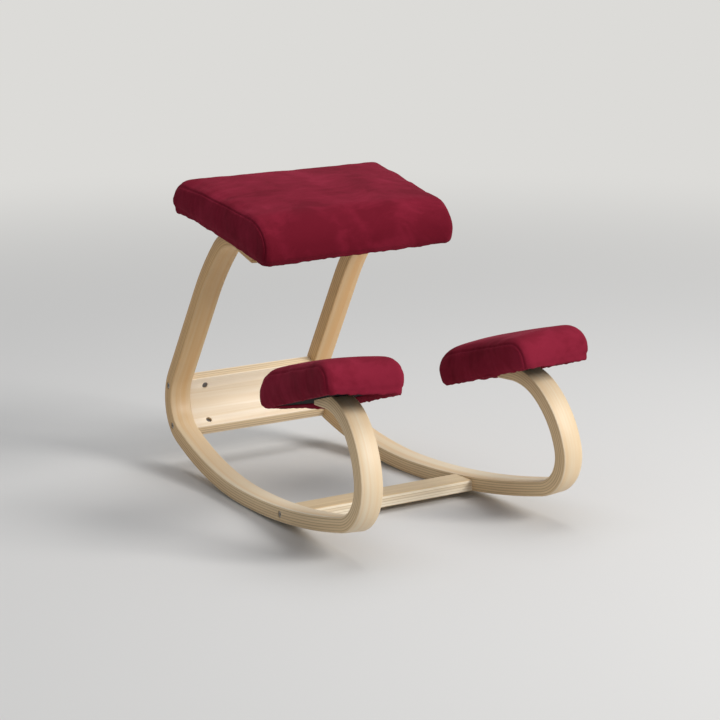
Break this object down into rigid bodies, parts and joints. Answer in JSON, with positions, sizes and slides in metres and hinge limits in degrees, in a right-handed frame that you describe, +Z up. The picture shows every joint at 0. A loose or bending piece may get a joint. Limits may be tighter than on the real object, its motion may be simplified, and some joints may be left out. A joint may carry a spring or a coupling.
{
  "type": "rocking kneeling chair",
  "caption": "Rocking kneeling chair: sloping upholstered seat and knee pads on bentwood runners that curl up at both ends, tied by a curved rear panel and a crossbar",
  "frame": {"origin": "on the floor, under the middle of the chair's bounding box", "axes": "+Z up; the chair faces -Y, so the knee pads are at -Y and the curved panel at +Y; +X is the sitter's left and the chair is the same on both sides of X = 0"},
  "size_m": [0.491, 0.6938, 0.5104],
  "materials": {
    "runner_wood": "satin lacquered birch laminate",
    "panel_wood": "satin lacquered beech veneer",
    "board_ply": "raw plywood",
    "cover_suede": "brushed suede cloth",
    "foam": "upholstery foam",
    "dust_cloth": "non-woven dust cloth",
    "bolt_steel": "black oxide",
    "nut_steel": "zinc plated",
    "dowel_beech": "raw beech"
  },
  "bodies": {
    "root": {"runner_right": "runner_wood", "runner_left": "runner_wood", "rear_panel": "panel_wood", "front_crossbar": "panel_wood", "seat_board": "board_ply", "seat_foam": "foam", "seat_cover": "cover_suede", "seat_dust_cloth": "dust_cloth", "knee_board_right": "board_ply", "knee_foam_right": "foam", "knee_cover_right": "cover_suede", "knee_dust_cloth_right": "dust_cloth", "knee_board_left": "board_ply", "knee_foam_left": "foam", "knee_cover_left": "cover_suede", "knee_dust_cloth_left": "dust_cloth", "panel_bolts_right": "bolt_steel", "panel_bolts_left": "bolt_steel", "panel_barrel_nuts": "nut_steel", "crossbar_bolts": "bolt_steel", "crossbar_barrel_nuts": "nut_steel", "crossbar_dowels": "dowel_beech", "seat_bolts_right": "bolt_steel", "seat_bolts_left": "bolt_steel", "seat_tee_nuts": "nut_steel", "knee_bolts_right": "bolt_steel", "knee_bolts_left": "bolt_steel", "knee_tee_nuts": "nut_steel"}
  },
  "joints": []
}
